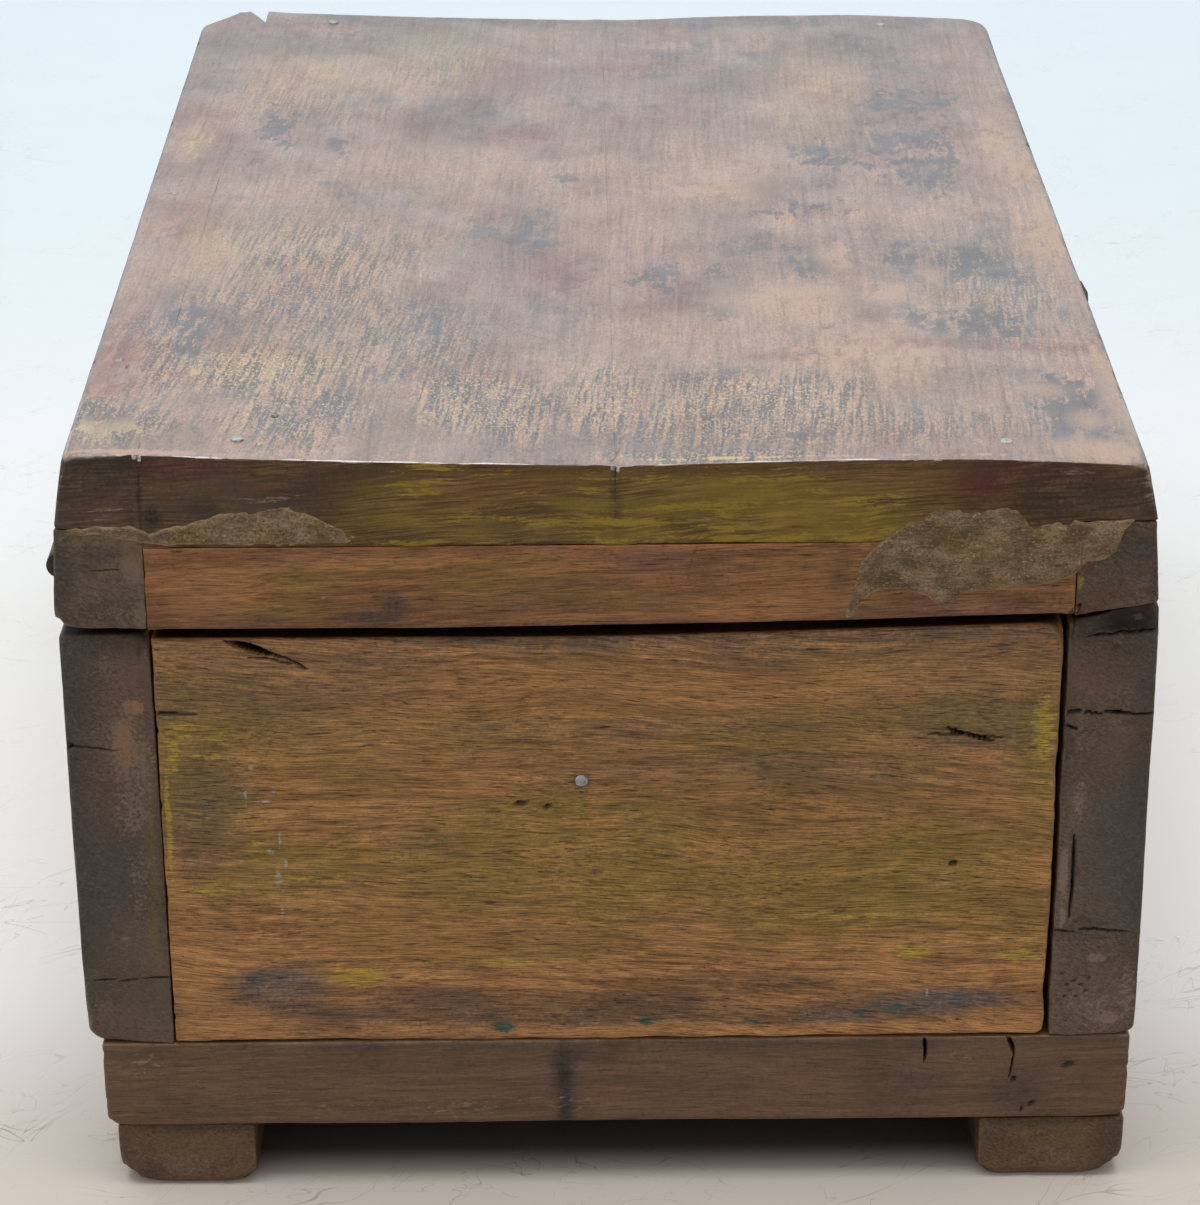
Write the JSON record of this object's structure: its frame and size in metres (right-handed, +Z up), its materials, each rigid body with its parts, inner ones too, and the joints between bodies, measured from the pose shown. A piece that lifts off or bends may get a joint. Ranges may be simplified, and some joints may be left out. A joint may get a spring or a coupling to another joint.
{
  "type": "candle box",
  "caption": "Small old plank box on two runners, with a thick framed lid hinged along one long side, a lengthwise divider inside and an iron hook latch on the front.",
  "frame": {"origin": "on the floor, below the middle of the box", "axes": "+Z up, +Y along the box from the near end to the far end, +X from the hinge side to the front"},
  "size_m": [0.2127, 0.308, 0.1547],
  "materials": {
    "side_wood": "worn dark end grain and painted long sides, matt",
    "end_panel_wood": "brown wood with a rubbed yellow wash, satin",
    "base_wood": "dull brown, pitted end grain",
    "inner_wood": "bare wood, darkened with age",
    "lid_top_wood": "rubbed purple brown paint with ochre flecks, satin",
    "lid_rail_wood": "dark worn wood, matt",
    "lid_end_rail_wood": "reddish brown wood, satin",
    "hinge_iron": "blackened wrought iron with rust",
    "nail_iron": "grey iron, rubbed bright on the heads",
    "latch_iron": "blackened wrought iron, rubbed at the edges"
  },
  "bodies": {
    "box": {"bottom_board": "base_wood", "hinge_side_board": "side_wood", "front_side_board": "side_wood", "near_end_board": "end_panel_wood", "far_end_board": "end_panel_wood", "divider": "inner_wood", "hinge_side_runner": "base_wood", "front_side_runner": "base_wood", "corner_nails": "nail_iron", "bottom_nails": "nail_iron", "runner_nails": "nail_iron", "divider_nails": "nail_iron", "near_hinge_box_leaf": "hinge_iron", "far_hinge_box_leaf": "hinge_iron", "near_hinge_pin": "hinge_iron", "far_hinge_pin": "hinge_iron", "near_hinge_box_nails": "nail_iron", "far_hinge_box_nails": "nail_iron", "latch_pivot": "latch_iron"},
    "lid": {"lid_edge_strip": "lid_top_wood", "lid_left_board": "lid_top_wood", "lid_right_board": "lid_top_wood", "lid_hinge_rail": "lid_rail_wood", "lid_front_rail": "lid_rail_wood", "lid_near_end_rail": "lid_end_rail_wood", "lid_far_end_rail": "lid_end_rail_wood", "lid_top_nails": "nail_iron", "lid_rail_nails": "nail_iron", "near_hinge_lid_leaf": "hinge_iron", "far_hinge_lid_leaf": "hinge_iron", "near_hinge_lid_nails": "nail_iron", "far_hinge_lid_nails": "nail_iron", "latch_stud": "latch_iron"},
    "hook": {"latch_hook": "latch_iron"}
  },
  "joints": [
    {"name": "lid_hinge", "type": "hinge", "parent": "box", "child": "lid", "pos_m": [-0.104, 0, 0.1194], "axis": [0, -1, 0], "range_deg": [0, 180]},
    {"name": "hook_swing", "type": "hinge", "parent": "box", "child": "hook", "pos_m": [0.1023, 0, 0.0895], "axis": [1, 0, 0], "range_deg": [-160, 184]}
  ]
}
